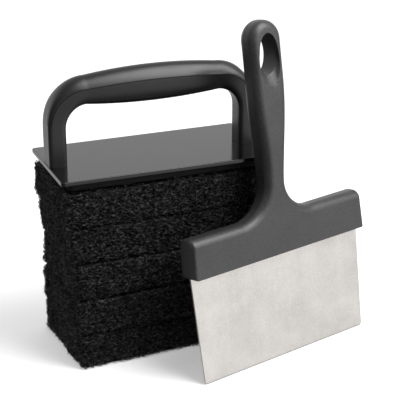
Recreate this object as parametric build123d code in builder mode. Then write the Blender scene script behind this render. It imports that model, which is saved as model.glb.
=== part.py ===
from build123d import *
from math import cos, pi, radians, sin
import os

# A griddle cleaning set: a looped pad holder stands on five scouring pads, and a wide scraper leans on it.
# Origin: on the floor, under the middle of the holder's plate. X along the plate, +Y to the back, +Z up.
# All sizes are in millimetres and degrees.

# ---- scouring pads ----
PAD_COUNT = 5
PAD_SHORTER_THAN_PLATE = 0.4
PAD_THICKNESS = 25.5
PAD_CORNER_RADIUS = 5.0
PAD_EDGE_RADIUS = 2.5
PAD_GAP = 0.3
# How each loose pad lies in the stack, from the top pad down: shift in X, shift in Y, turn about Z.
PAD_LIES = [(1.5, 1.5, 0.8), (4.5, 1.5, 0.6), (5.0, 0.0, 1.3), (4.5, -1.5, 2.4), (6.0, 0.0, 3.3)]

# ---- gripper under the plate ----
HOOK_THICKNESS = 2.0
HOOK_INSET = 7.0
HOOK_CORNER_RADIUS = 3.0
MAT_THICKNESS = 4.2
MAT_INSET = 6.0
MAT_CORNER_RADIUS = 4.0

# ---- plate ----
PLATE_LENGTH = 152.4
PLATE_DEPTH = 75.0
PLATE_THICKNESS = 3.0
PLATE_CORNER_RADIUS = 2.5
PLATE_EDGE_RADIUS = 0.6

# ---- looped handle ----
LEG_INSET = 0.3
LEG_THICKNESS = 13.2
LEG_WIDTH = 16.0
LEG_SQUARENESS = 6.0
INNER_BEND_RADIUS = 15.0
FINGER_HEIGHT = 41.0
SHOULDER_THICKNESS = 19.4
SHOULDER_WIDTH = 18.0
SHOULDER_SQUARENESS = 3.2
GRIP_BELLY = 3.0
GRIP_CROWN = 3.1
GRIP_WIDTH = 20.0
GRIP_SQUARENESS = 2.5
COVER_END_HEIGHT = 30.0
COVER_END_THICKNESS = 2.0
COVER_SHOULDER_THICKNESS = 7.4
COVER_CROWN_THICKNESS = 8.3
COVER_EDGE_BREAK = 0.35
FACET_DEPTH = 0.35
CHANNEL_WIDTH = 10.0
CHANNEL_LENGTH = 84.0
CHANNEL_FLOOR = 7.0
TONGUE_DEPTH = 3.0
TONGUE_CLEARANCE = 0.2
SECTION_POINTS = 24

# ---- screws that hold the handle ----
SCREW_RADIUS = 2.0
SCREW_HEAD_RADIUS = 3.9
SCREW_HEAD_HEIGHT = 2.0
SCREW_GRIP_LENGTH = 9.0
SCREW_HOLE_CLEARANCE = 0.25
SCREW_HEAD_SINK = 0.2
SCREW_THREAD_CLEARANCE = 0.05
SOCKET_WIDTH = 2.5
SOCKET_DEPTH = 1.2
INSERT_RADIUS = 2.9
INSERT_LENGTH = 8.0
INSERT_FLANGE_RADIUS = 3.6
INSERT_FLANGE_THICKNESS = 0.8
INSERT_POCKET_SPARE = 3.0
PEG_RADIUS = 1.2
PEG_LENGTH = 2.2
PEG_OFFSET = 5.2
PEG_CLEARANCE = 0.15

# ---- scraper ----
SCRAPER_YAW = 16.8
SCRAPER_LEAN = 10.0
SCRAPER_SHIFT_X = 74.0
SCRAPER_GAP = 0.3
BLADE_EDGE_WIDTH = 146.4
BLADE_TOP_WIDTH = 151.6
BLADE_THICKNESS = 1.2
BLADE_EXPOSED = 75.5
BLADE_BURIED = 17.0
BLADE_CORNER_RADIUS = 2.5
BLADE_BEVEL_HEIGHT = 1.6
BLADE_BEVEL_DEPTH = 0.5
TANG_WIDTH = 10.0
TANG_TOP = 186.0
LOCK_HOLE_RADIUS = 3.0
LOCK_HOLE_SPACING = 24.0
LOCK_HOLE_COUNT = 5
TANG_HOLE_RADIUS = 2.2
TANG_HOLE_SPACING = 22.0
TANG_HOLE_COUNT = 3
TANG_HOLE_START = 128.0
BAR_WIDTH = 155.0
BAR_DRAFT = 1.2
BAR_TOP = 103.0
BAR_DEPTH = 16.0
BAR_END_RADIUS = 2.8
NECK_WIDTH = 17.0
NECK_FILLET_RADIUS = 24.0
GRIP_END_WIDTH = 26.8
GRIP_SWELL_START = 196.0
SCRAPER_LENGTH = 237.0
SCRAPER_EDGE_RADIUS = 6.0
NECK_REST_HEIGHT = 141.5
NECK_BACK = 7.0
NECK_FRONT = 11.0
END_BACK = 3.0
END_FRONT = 13.0
HANG_HOLE_WIDTH = 16.0
HANG_HOLE_HEIGHT = 28.0
HANG_HOLE_CENTRE = 214.5
DISH_WIDTH = 17.6
DISH_HEIGHT = 34.5
DISH_DROP = 6.0
DISH_DEPTH = 2.8
DISH_SPARE = 0.5

os.makedirs("parts", exist_ok=True)

# ---- heights that follow from the stack ----
hook_underside = PAD_COUNT * PAD_THICKNESS + PAD_COUNT * PAD_GAP
mat_underside = hook_underside + HOOK_THICKNESS
plate_underside = mat_underside + MAT_THICKNESS
plate_top = plate_underside + PLATE_THICKNESS


# =====================================================================================================
# Scouring pads: plain blocks with rounded corners, stacked from the top one (1) to the bottom one (5)
# =====================================================================================================
for number, (shift_x, shift_y, turn) in enumerate(PAD_LIES, start=1):
    underside = (PAD_COUNT - number) * (PAD_THICKNESS + PAD_GAP)
    with BuildPart() as scouring_pad:
        with BuildSketch(Plane(origin=(shift_x, shift_y, underside)).rotated((0, 0, turn))):
            RectangleRounded(PLATE_LENGTH - PAD_SHORTER_THAN_PLATE, PLATE_DEPTH, PAD_CORNER_RADIUS)
        extrude(amount=PAD_THICKNESS)
        flat_faces = scouring_pad.faces().filter_by(Axis.Z)
        fillet(flat_faces.edges(), PAD_EDGE_RADIUS)
    scouring_pad.part.label = f"scouring_pad_{number}"
    export_step(scouring_pad.part, f"parts/scouring_pad_{number}.step")


# =====================================================================================================
# Gripper: a hook sheet on a soft backing mat, glued under the plate
# =====================================================================================================
with BuildPart() as hook_sheet:
    with BuildSketch(Plane.XY.offset(hook_underside)):
        RectangleRounded(PLATE_LENGTH - 2 * HOOK_INSET, PLATE_DEPTH - 2 * HOOK_INSET, HOOK_CORNER_RADIUS)
    extrude(amount=HOOK_THICKNESS)
hook_sheet.part.label = "hook_sheet"
export_step(hook_sheet.part, "parts/hook_sheet.step")

with BuildPart() as backing_mat:
    with BuildSketch(Plane.XY.offset(mat_underside)):
        RectangleRounded(PLATE_LENGTH - 2 * MAT_INSET, PLATE_DEPTH - 2 * MAT_INSET, MAT_CORNER_RADIUS)
    extrude(amount=MAT_THICKNESS)
backing_mat.part.label = "backing_mat"
export_step(backing_mat.part, "parts/backing_mat.step")


# =====================================================================================================
# Plate, with a countersunk screw hole and a peg hole under each leg of the handle
# =====================================================================================================
leg_middle = PLATE_LENGTH / 2 - LEG_INSET - LEG_THICKNESS / 2
screw_spots = [(-leg_middle, 0), (leg_middle, 0)]
peg_spots = [(-leg_middle, PEG_OFFSET), (leg_middle, PEG_OFFSET)]

with BuildPart() as plate:
    with BuildSketch(Plane.XY.offset(plate_underside)):
        RectangleRounded(PLATE_LENGTH, PLATE_DEPTH, PLATE_CORNER_RADIUS)
    extrude(amount=PLATE_THICKNESS)
    plate_rims = plate.faces().filter_by(Axis.Z).edges()
    fillet(plate_rims, PLATE_EDGE_RADIUS)
    with Locations(Plane((0, 0, plate_underside), x_dir=(1, 0, 0), z_dir=(0, 0, -1))):
        with Locations(*screw_spots):
            CounterSinkHole(
                SCREW_RADIUS + SCREW_HOLE_CLEARANCE,
                SCREW_HEAD_RADIUS + SCREW_HEAD_SINK + SCREW_HOLE_CLEARANCE,
                depth=PLATE_THICKNESS,
            )
    with BuildSketch(Plane.XY.offset(plate_underside)):
        with Locations(*peg_spots):
            Circle(PEG_RADIUS + PEG_CLEARANCE)
    extrude(amount=PLATE_THICKNESS, mode=Mode.SUBTRACT)
plate.part.label = "plate"
export_step(plate.part, "parts/plate.step")


# =====================================================================================================
# Looped handle: one smooth arch, parted into a lower core and an outer cover
# =====================================================================================================
leg_outer = PLATE_LENGTH / 2 - LEG_INSET
shoulder_x = leg_outer - LEG_THICKNESS - INNER_BEND_RADIUS
bend_height = FINGER_HEIGHT - INNER_BEND_RADIUS
shoulder_top = FINGER_HEIGHT + SHOULDER_THICKNESS
grip_top = shoulder_top + GRIP_CROWN


def blend(first, last, share):
    """Return the value a given share of the way from first to last."""
    return first + (last - first) * share


def section_points(width, thickness, squareness):
    """Return the points of a closed superellipse, x across the handle and y out from its inside."""
    points = []
    for step in range(SECTION_POINTS):
        angle = 2 * pi * step / SECTION_POINTS
        across, out = cos(angle), sin(angle)
        x = abs(across) ** (2 / squareness) * (1 if across >= 0 else -1) * width / 2
        y = abs(out) ** (2 / squareness) * (1 if out >= 0 else -1) * thickness / 2
        points.append((x, y))
    return points


# Each station is its middle (x and height above the plate), its direction, width, thickness, squareness.
# The direction is 0 at the left foot, 90 along the grip and 180 at the right foot.
leg_stations = [
    (-leg_outer + LEG_THICKNESS / 2, height, 0, LEG_WIDTH, LEG_THICKNESS, LEG_SQUARENESS)
    for height in (0.0, bend_height / 2)
]
bend_stations = []
for turn in (0.0, 22.5, 45.0, 67.5, 90.0):
    share = sin(radians(turn)) ** 2
    thickness = blend(LEG_THICKNESS, SHOULDER_THICKNESS, share)
    reach = INNER_BEND_RADIUS + thickness / 2
    middle_x = -shoulder_x - reach * cos(radians(turn))
    middle_height = bend_height + reach * sin(radians(turn))
    width = blend(LEG_WIDTH, SHOULDER_WIDTH, share)
    squareness = blend(LEG_SQUARENESS, SHOULDER_SQUARENESS, share)
    bend_stations.append((middle_x, middle_height, turn, width, thickness, squareness))
grip_stations = []
for place in (-2 / 3, -1 / 3, 0.0, 1 / 3, 2 / 3):
    fullness = 1 - place**2
    underside = FINGER_HEIGHT - GRIP_BELLY * fullness
    top = shoulder_top + GRIP_CROWN * fullness
    width = blend(SHOULDER_WIDTH, GRIP_WIDTH, fullness)
    squareness = blend(SHOULDER_SQUARENESS, GRIP_SQUARENESS, fullness)
    grip_stations.append((place * shoulder_x, (underside + top) / 2, 90, width, top - underside, squareness))
left_stations = leg_stations + bend_stations
right_stations = [(-x, height, 180 - turn, *sizes) for x, height, turn, *sizes in reversed(left_stations)]

with BuildPart() as whole_handle:
    for x, height, turn, width, thickness, squareness in left_stations + grip_stations + right_stations:
        along = (sin(radians(turn)), 0, cos(radians(turn)))
        with BuildSketch(Plane(origin=(x, 0, plate_top + height), x_dir=(0, 1, 0), z_dir=along)):
            with BuildLine():
                Spline(*section_points(width, thickness, squareness), periodic=True)
            make_face()
    loft()

cover_bend_radius = leg_outer - COVER_END_THICKNESS - shoulder_x
parting_shoulder = shoulder_top - COVER_SHOULDER_THICKNESS
parting_crown = grip_top - COVER_CROWN_THICKNESS
parting_bend = parting_shoulder - cover_bend_radius
parting_plane = Plane(origin=(0, 0, plate_top), x_dir=(1, 0, 0), z_dir=(0, -1, 0))
beyond = leg_outer + LEG_THICKNESS

with BuildPart() as cover_space:
    with BuildSketch(parting_plane):
        with BuildLine():
            start = (-leg_outer + COVER_END_THICKNESS, parting_bend)
            finish = (leg_outer - COVER_END_THICKNESS, parting_bend)
            left_shoulder = (-shoulder_x, parting_shoulder)
            right_shoulder = (shoulder_x, parting_shoulder)
            TangentArc(start, left_shoulder, tangent=(0, 1))
            ThreePointArc(left_shoulder, (0, parting_crown), right_shoulder)
            TangentArc(finish, right_shoulder, tangent=(0, 1))
            Polyline(start, (-beyond, parting_bend), (-beyond, grip_top + beyond),
                     (beyond, grip_top + beyond), (beyond, parting_bend), finish)
        make_face()
        with Locations((0, COVER_END_HEIGHT / 2)):
            Rectangle(4 * beyond, COVER_END_HEIGHT, mode=Mode.SUBTRACT)
    extrude(amount=GRIP_WIDTH, both=True)


def on_parting_line(edge):
    """Return True for an edge where the cover meets the core on the side of the handle."""
    middle = edge @ 0.5
    above_cover_end = middle.Z > plate_top + COVER_END_HEIGHT + COVER_EDGE_BREAK
    return above_cover_end and abs(middle.Y) > CHANNEL_WIDTH / 2 + COVER_EDGE_BREAK and edge.length > LEG_WIDTH


with BuildPart() as handle_core:
    add(whole_handle.part)
    add(cover_space.part, mode=Mode.SUBTRACT)
    chamfer(handle_core.edges().filter_by(on_parting_line), COVER_EDGE_BREAK)
    # flat outer face on each leg, below the end of the cover
    with BuildSketch(parting_plane):
        for side in (-1, 1):
            with Locations((side * (leg_outer - FACET_DEPTH + LEG_THICKNESS / 2), COVER_END_HEIGHT / 2)):
                Rectangle(LEG_THICKNESS, COVER_END_HEIGHT)
    extrude(amount=GRIP_WIDTH, both=True, mode=Mode.SUBTRACT)
    # open channel under the cover
    channel_floor = FINGER_HEIGHT + CHANNEL_FLOOR - GRIP_BELLY
    with BuildSketch(parting_plane):
        with Locations((0, (channel_floor + grip_top) / 2)):
            Rectangle(CHANNEL_LENGTH, grip_top - channel_floor)
    extrude(amount=CHANNEL_WIDTH / 2, both=True, mode=Mode.SUBTRACT)
    # pockets for the threaded inserts, and the pegs that stop the legs from turning
    with BuildSketch(Plane.XY.offset(plate_top)):
        with Locations(*screw_spots):
            Circle(INSERT_FLANGE_RADIUS)
    extrude(amount=INSERT_FLANGE_THICKNESS, mode=Mode.SUBTRACT)
    with BuildSketch(Plane.XY.offset(plate_top)):
        with Locations(*screw_spots):
            Circle(INSERT_RADIUS)
    extrude(amount=INSERT_LENGTH + INSERT_POCKET_SPARE, mode=Mode.SUBTRACT)
    with BuildSketch(Plane.XY.offset(plate_top)):
        with Locations(*peg_spots):
            Circle(PEG_RADIUS)
    extrude(amount=-PEG_LENGTH)
handle_core.part.label = "handle_core"
export_step(handle_core.part, "parts/handle_core.step")

with BuildPart() as handle_cover:
    add(whole_handle.part)
    add(cover_space.part, mode=Mode.INTERSECT)
    chamfer(handle_cover.edges().filter_by(on_parting_line), COVER_EDGE_BREAK)
    # tongue that drops into the channel of the core
    tongue_length = CHANNEL_LENGTH - 2 * TONGUE_CLEARANCE
    tongue_foot = parting_shoulder - TONGUE_DEPTH
    with BuildSketch(parting_plane):
        with Locations((0, (tongue_foot + parting_crown) / 2)):
            Rectangle(tongue_length, parting_crown - tongue_foot)
    extrude(amount=CHANNEL_WIDTH / 2 - TONGUE_CLEARANCE, both=True)
handle_cover.part.label = "handle_cover"
export_step(handle_cover.part, "parts/handle_cover.step")

with BuildPart() as threaded_inserts:
    with BuildSketch(Plane.XY.offset(plate_top)):
        with Locations(*screw_spots):
            Circle(INSERT_FLANGE_RADIUS)
    extrude(amount=INSERT_FLANGE_THICKNESS)
    with BuildSketch(Plane.XY.offset(plate_top)):
        with Locations(*screw_spots):
            Circle(INSERT_RADIUS)
    extrude(amount=INSERT_LENGTH)
    with BuildSketch(Plane.XY.offset(plate_top)):
        with Locations(*screw_spots):
            Circle(SCREW_RADIUS + SCREW_THREAD_CLEARANCE)
    extrude(amount=INSERT_LENGTH, mode=Mode.SUBTRACT)
threaded_inserts.part.label = "threaded_inserts"
export_step(threaded_inserts.part, "parts/threaded_inserts.step")

screw_face = plate_underside + SCREW_HEAD_SINK
with BuildPart() as plate_screws:
    with BuildSketch(Plane.XY.offset(screw_face)):
        with Locations(*screw_spots):
            Circle(SCREW_RADIUS)
    extrude(amount=SCREW_GRIP_LENGTH)
    with Locations(*[(x, y, screw_face + SCREW_HEAD_HEIGHT / 2) for x, y in screw_spots]):
        Cone(SCREW_HEAD_RADIUS, SCREW_HEAD_RADIUS - SCREW_HEAD_HEIGHT, SCREW_HEAD_HEIGHT)
    with BuildSketch(Plane.XY.offset(screw_face)):
        with Locations(*screw_spots):
            RegularPolygon(SOCKET_WIDTH / 2, 6, major_radius=False)
    extrude(amount=SOCKET_DEPTH, mode=Mode.SUBTRACT)
plate_screws.part.label = "plate_screws"
export_step(plate_screws.part, "parts/plate_screws.step")


# =====================================================================================================
# Scraper: drawn on the plane of its blade, x along the edge, y up the blade, z out of its front
# =====================================================================================================
yaw, lean = radians(SCRAPER_YAW), radians(SCRAPER_LEAN)
edge_direction = Vector(cos(yaw), sin(yaw), 0)
back_level = Vector(-sin(yaw), cos(yaw), 0)
up_direction = back_level * sin(lean) + Vector(0, 0, 1) * cos(lean)
front_direction = edge_direction.cross(up_direction)

# The back of the neck's right corner touches the plate's front top edge, which sets how far out the
# blade stands; its lower back corner is on the floor.
touch_side = NECK_WIDTH / 2 - SCRAPER_EDGE_RADIUS * (1 - cos(yaw))
touch_up = (plate_top + NECK_BACK * sin(lean)) / cos(lean)
touch_back = touch_side * sin(yaw) + cos(yaw) * (touch_up * sin(lean) + NECK_BACK * cos(lean))
foot = Vector(SCRAPER_SHIFT_X, -PLATE_DEPTH / 2 - SCRAPER_GAP - touch_back, BLADE_THICKNESS / 2 * sin(lean))
blade_plane = Plane(origin=foot, x_dir=edge_direction, z_dir=front_direction)
side_plane = Plane(origin=foot, x_dir=front_direction, z_dir=edge_direction * -1)

blade_top = BLADE_EXPOSED + BLADE_BURIED
with BuildPart() as scraper_blade:
    with BuildSketch(blade_plane) as blade_outline:
        with BuildLine():
            Polyline((-BLADE_EDGE_WIDTH / 2, 0), (BLADE_EDGE_WIDTH / 2, 0),
                     (BLADE_TOP_WIDTH / 2, BLADE_EXPOSED), (BLADE_TOP_WIDTH / 2, blade_top),
                     (-BLADE_TOP_WIDTH / 2, blade_top), (-BLADE_TOP_WIDTH / 2, BLADE_EXPOSED), close=True)
        make_face()
        fillet(blade_outline.vertices().group_by(Axis.Z)[0], BLADE_CORNER_RADIUS)
        with Locations((0, (blade_top + TANG_TOP) / 2)):
            Rectangle(TANG_WIDTH, TANG_TOP - blade_top)
        with Locations((0, BLADE_EXPOSED + BLADE_BURIED / 2)):
            with GridLocations(LOCK_HOLE_SPACING, 1, LOCK_HOLE_COUNT, 1):
                Circle(LOCK_HOLE_RADIUS, mode=Mode.SUBTRACT)
        with Locations((0, TANG_HOLE_START + TANG_HOLE_SPACING)):
            with GridLocations(1, TANG_HOLE_SPACING, 1, TANG_HOLE_COUNT):
                Circle(TANG_HOLE_RADIUS, mode=Mode.SUBTRACT)
    extrude(amount=BLADE_THICKNESS / 2, both=True)
    # ground bevel along the working edge, on the front face
    with BuildSketch(side_plane):
        with BuildLine():
            Polyline((BLADE_THICKNESS / 2, 0), (BLADE_THICKNESS / 2 - BLADE_BEVEL_DEPTH, 0),
                     (BLADE_THICKNESS / 2, BLADE_BEVEL_HEIGHT), close=True)
        make_face()
    extrude(amount=BLADE_EDGE_WIDTH, both=True, mode=Mode.SUBTRACT)
scraper_blade.part.label = "scraper_blade"
export_step(scraper_blade.part, "parts/scraper_blade.step")

bar_reach = BAR_WIDTH / 2 + BAR_DEPTH
neck_half = NECK_WIDTH / 2
sweep_end = neck_half + NECK_FILLET_RADIUS
end_half = GRIP_END_WIDTH / 2
end_start = SCRAPER_LENGTH - end_half
past_end = SCRAPER_LENGTH + END_FRONT
bar_half = BAR_DEPTH / 2


def faces_front(direction):
    """Return True where a direction points mostly out of the scraper's front or back."""
    return abs(direction.dot(front_direction)) > 0.5


def height_on_blade(shape):
    """Return how far up the blade's plane the middle of a face or an edge lies."""
    return blade_plane.to_local_coords(shape.center()).Y


with BuildPart() as scraper_handle:
    # outline from the front: a long bar that sweeps up into the neck, which swells to the rounded end
    with BuildSketch(blade_plane.offset(-past_end)):
        with BuildLine():
            Polyline((0, BLADE_EXPOSED), (bar_reach, BLADE_EXPOSED), (bar_reach, BAR_TOP), (sweep_end, BAR_TOP))
            TangentArc((sweep_end, BAR_TOP), (neck_half, BAR_TOP + NECK_FILLET_RADIUS), tangent=(-1, 0))
            Spline((neck_half, BAR_TOP + NECK_FILLET_RADIUS), (end_half, GRIP_SWELL_START),
                   tangents=((0, 1), (0, 1)))
            Line((end_half, GRIP_SWELL_START), (end_half, end_start))
            TangentArc((end_half, end_start), (0, SCRAPER_LENGTH), tangent=(0, 1))
            mirror(about=Plane.YZ)
        make_face()
    extrude(amount=2 * past_end)
    # outline from the side: a straight bar, then a neck that leans forward a little
    with BuildSketch(side_plane.offset(-bar_reach)):
        with BuildLine():
            Polyline((-bar_half, BAR_TOP), (-bar_half, 0), (bar_half, 0), (bar_half, BAR_TOP))
            Spline((bar_half, BAR_TOP), (NECK_FRONT, NECK_REST_HEIGHT), (END_FRONT, GRIP_SWELL_START),
                   (END_FRONT, past_end), tangents=((0, 1), (0, 1)))
            Line((END_FRONT, past_end), (-END_BACK, past_end))
            Spline((-END_BACK, past_end), (-END_BACK, GRIP_SWELL_START),
                   (-NECK_BACK, NECK_REST_HEIGHT), (-bar_half, BAR_TOP), tangents=((0, -1), (0, -1)))
        make_face()
    extrude(amount=2 * bar_reach, mode=Mode.INTERSECT)
    # one large round along the whole upper outline, front and back
    walls = scraper_handle.faces().filter_by(lambda face: not faces_front(face.normal_at()))
    upper_walls = walls.filter_by(lambda wall: height_on_blade(wall) > BAR_TOP - BAR_END_RADIUS)
    fillet(upper_walls.edges().filter_by(lambda edge: not faces_front(edge % 0.5)), SCRAPER_EDGE_RADIUS)
    # ends of the bar, cut with a little draft
    with BuildSketch(blade_plane.offset(-bar_half)):
        for side in (-1, 1):
            with BuildLine():
                Polyline((side * BAR_WIDTH / 2, BLADE_EXPOSED), (side * (BAR_WIDTH / 2 - BAR_DRAFT), BAR_TOP),
                         (side * bar_reach, BAR_TOP), (side * bar_reach, BLADE_EXPOSED), close=True)
            make_face()
    extrude(amount=BAR_DEPTH, mode=Mode.SUBTRACT)
    bar_ends = scraper_handle.faces().filter_by(lambda face: abs(face.normal_at().dot(edge_direction)) > 0.99)
    bar_ends = bar_ends.filter_by(lambda face: height_on_blade(face) < BAR_TOP)
    fillet(bar_ends.edges(), BAR_END_RADIUS)
    # oval hanging hole through the rounded end, dished towards the neck on the front
    with BuildSketch(blade_plane.offset(-past_end)):
        with Locations((0, HANG_HOLE_CENTRE)):
            Ellipse(HANG_HOLE_WIDTH / 2, HANG_HOLE_HEIGHT / 2)
    extrude(amount=2 * past_end, mode=Mode.SUBTRACT)
    with BuildSketch(blade_plane.offset(END_FRONT + DISH_SPARE)):
        with Locations((0, HANG_HOLE_CENTRE - DISH_DROP)):
            Ellipse(DISH_WIDTH / 2, DISH_HEIGHT / 2)
    with BuildSketch(blade_plane.offset(END_FRONT - DISH_DEPTH)):
        with Locations((0, HANG_HOLE_CENTRE)):
            Ellipse(HANG_HOLE_WIDTH / 2, HANG_HOLE_HEIGHT / 2)
    loft(mode=Mode.SUBTRACT)
    # the blade and its tang are moulded in, and plastic fills their holes
    add(scraper_blade.part, mode=Mode.SUBTRACT)
scraper_handle.part.label = "scraper_handle"
export_step(scraper_handle.part, "parts/scraper_handle.step")
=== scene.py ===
"""Looks of the griddle cleaning set: scouring pads, pad holder with its looped handle, and scraper."""
import logging
import math
from dataclasses import dataclass
from enum import Enum
from typing import Any

import bmesh
import bpy
import numpy as np
from mathutils import Matrix, Vector, noise


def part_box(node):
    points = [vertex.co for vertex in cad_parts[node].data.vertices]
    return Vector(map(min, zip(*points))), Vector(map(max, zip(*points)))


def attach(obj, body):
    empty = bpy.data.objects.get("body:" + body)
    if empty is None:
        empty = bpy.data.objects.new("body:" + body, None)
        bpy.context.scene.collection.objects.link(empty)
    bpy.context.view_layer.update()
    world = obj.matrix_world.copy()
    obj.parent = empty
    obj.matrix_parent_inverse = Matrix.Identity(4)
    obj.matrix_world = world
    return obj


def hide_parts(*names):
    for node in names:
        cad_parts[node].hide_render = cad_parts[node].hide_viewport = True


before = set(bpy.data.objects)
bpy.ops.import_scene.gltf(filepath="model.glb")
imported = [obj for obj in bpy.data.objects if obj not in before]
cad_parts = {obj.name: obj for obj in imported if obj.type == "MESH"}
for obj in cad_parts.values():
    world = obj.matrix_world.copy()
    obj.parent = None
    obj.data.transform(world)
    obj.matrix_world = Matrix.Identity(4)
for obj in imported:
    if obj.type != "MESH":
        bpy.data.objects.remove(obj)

log = logging.getLogger("griddle_set")
MM = 0.001
Colour = tuple[float, float, float]


# ---------------------------------------------------------------------------------------------
# Node trees
# ---------------------------------------------------------------------------------------------
class Signal:
    """A socket that carries one number, and that sums and products can be written with."""

    def __init__(self, bench: "Bench", socket: bpy.types.NodeSocket) -> None:
        """Keep the socket and the bench that adds nodes beside it.

        Args:
            bench: The bench of the tree that the socket is in.
            socket: The output socket.
        """
        self.bench = bench
        self.socket = socket

    def _join(self, operation: str, left: Any, right: Any) -> "Signal":
        """Return a Math node's result.

        Args:
            operation: The Math node's operation.
            left: The first number or signal.
            right: The second number or signal.

        Returns:
            The result as a signal.
        """
        return self.bench.signal("ShaderNodeMath", {"operation": operation}, {0: left, 1: right})

    def __add__(self, other: Any) -> "Signal":
        """Return self plus other."""
        return self._join("ADD", self, other)

    def __radd__(self, other: Any) -> "Signal":
        """Return other plus self."""
        return self._join("ADD", other, self)

    def __sub__(self, other: Any) -> "Signal":
        """Return self minus other."""
        return self._join("SUBTRACT", self, other)

    def __rsub__(self, other: Any) -> "Signal":
        """Return other minus self."""
        return self._join("SUBTRACT", other, self)

    def __mul__(self, other: Any) -> "Signal":
        """Return self times other."""
        return self._join("MULTIPLY", self, other)

    def __rmul__(self, other: Any) -> "Signal":
        """Return other times self."""
        return self._join("MULTIPLY", other, self)

    def __pow__(self, other: Any) -> "Signal":
        """Return self to the power of other."""
        return self._join("POWER", self, other)


class Bench:
    """Adds nodes to one node tree."""

    def __init__(self, tree: bpy.types.NodeTree) -> None:
        """Keep the tree.

        Args:
            tree: The shader or geometry tree to add to.
        """
        self.tree = tree

    def node(self, kind: str, settings: dict[str, Any] | None = None,
             inputs: dict[Any, Any] | None = None) -> bpy.types.Node:
        """Add one node.

        Args:
            kind: The node's type.
            settings: Properties to set before the inputs. "stops" holds a ramp's (place, colour) pairs.
            inputs: Values, sockets or signals for the input sockets, by name or number.

        Returns:
            The new node.
        """
        made = self.tree.nodes.new(kind)
        for name, value in (settings or {}).items():
            if name == "stops":
                self._fill_ramp(made.color_ramp, value)
            else:
                setattr(made, name, value)
        for key, value in (inputs or {}).items():
            source = value.socket if isinstance(value, Signal) else value
            if isinstance(source, bpy.types.NodeSocket):
                self.tree.links.new(source, made.inputs[key])
            else:
                made.inputs[key].default_value = source
        return made

    @staticmethod
    def _fill_ramp(ramp: bpy.types.ColorRamp, stops: list[tuple[float, float]]) -> None:
        """Set a ramp's stops.

        Args:
            ramp: The ramp to fill, which starts with two stops.
            stops: Places and grey levels, in order.
        """
        while len(ramp.elements) < len(stops):
            ramp.elements.new(1.0)
        for element, (place, level) in zip(ramp.elements, stops):
            element.position = place
            element.color = (level, level, level, 1.0)

    def signal(self, kind: str, settings: dict[str, Any] | None = None,
               inputs: dict[Any, Any] | None = None, output: Any = 0) -> Signal:
        """Add one node and return one of its outputs.

        Args:
            kind: The node's type.
            settings: As for node().
            inputs: As for node().
            output: The output socket's name or number.

        Returns:
            The output as a signal.
        """
        return Signal(self, self.node(kind, settings, inputs).outputs[output])


class Finish:
    """What every finish shares: a new material with a principled shader and object coordinates."""

    name: str

    def start(self) -> tuple[bpy.types.Material, Bench, bpy.types.Node, bpy.types.NodeSocket]:
        """Make the bare material.

        Returns:
            The material, its bench, its principled shader and the object coordinate socket.
        """
        material = bpy.data.materials.new(self.name)
        material.use_nodes = True
        bench = Bench(material.node_tree)
        shader = material.node_tree.nodes["Principled BSDF"]
        place = bench.node("ShaderNodeTexCoord").outputs["Object"]
        return material, bench, shader, place

    @staticmethod
    def speckle(bench: Bench, place: Any, scale: float, detail: float = 3.0,
                roughness: float = 0.55) -> Signal:
        """Return noise between about 0 and 1.

        Args:
            bench: The bench to add to.
            place: The coordinates to read.
            scale: Features per metre.
            detail: The number of octaves.
            roughness: How strong the finer octaves are.

        Returns:
            The noise.
        """
        return bench.signal("ShaderNodeTexNoise", {"noise_dimensions": "3D"},
                            {"Vector": place, "Scale": scale, "Detail": detail, "Roughness": roughness})

    @staticmethod
    def tint(bench: Bench, share: Any, low: Colour, high: Colour) -> bpy.types.NodeSocket:
        """Return a colour between two colours.

        Args:
            bench: The bench to add to.
            share: 0 for the low colour, 1 for the high one.
            low: The first colour.
            high: The second colour.

        Returns:
            The colour socket.
        """
        mix = bench.node("ShaderNodeMix", {"data_type": "RGBA", "clamp_factor": True},
                         {0: share, 6: (*low, 1.0), 7: (*high, 1.0)})
        return mix.outputs[2]

    @staticmethod
    def bump(bench: Bench, shader: bpy.types.Node, height: Any, depth: float,
             strength: float = 1.0) -> None:
        """Give the shader a bumpy surface.

        Args:
            bench: The bench to add to.
            shader: The principled shader.
            height: The height signal.
            depth: The height of 1 in metres.
            strength: The bump's strength.
        """
        made = bench.node("ShaderNodeBump", None, {"Height": height, "Distance": depth, "Strength": strength})
        bench.tree.links.new(made.outputs[0], shader.inputs["Normal"])


def scaled(colour: Colour, factor: float) -> Colour:
    """Return a colour times a factor."""
    return tuple(min(1.0, channel * factor) for channel in colour)


@dataclass(frozen=True)
class MouldedPlastic(Finish):
    """Satin plastic with the fine grain of a textured mould and faint handling marks."""

    name: str
    colour: Colour
    roughness: float
    specular: float = 0.5
    grain_pitch: float = 0.55 * MM
    grain_depth: float = 0.035 * MM
    mottle: float = 0.10
    wear: float = 0.08

    def make(self) -> bpy.types.Material:
        """Return the material."""
        material, bench, shader, place = self.start()
        grain = self.speckle(bench, place, 1.0 / self.grain_pitch, 2.0, 0.5)
        cloud = self.speckle(bench, place, 45.0, 4.0)
        shade = (cloud - 0.5) * 0.8 + (grain - 0.5) * 1.8 + 0.5
        colour = self.tint(bench, shade, scaled(self.colour, 1 - self.mottle * 2),
                           scaled(self.colour, 1 + self.mottle * 2))
        bench.tree.links.new(colour, shader.inputs["Base Color"])
        rough = (cloud - 0.5) * self.wear * 2 + (grain - 0.5) * 0.1 + self.roughness
        bench.tree.links.new(rough.socket, shader.inputs["Roughness"])
        shader.inputs["Specular IOR Level"].default_value = self.specular
        self.bump(bench, shader, grain, self.grain_depth)
        return material


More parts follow.
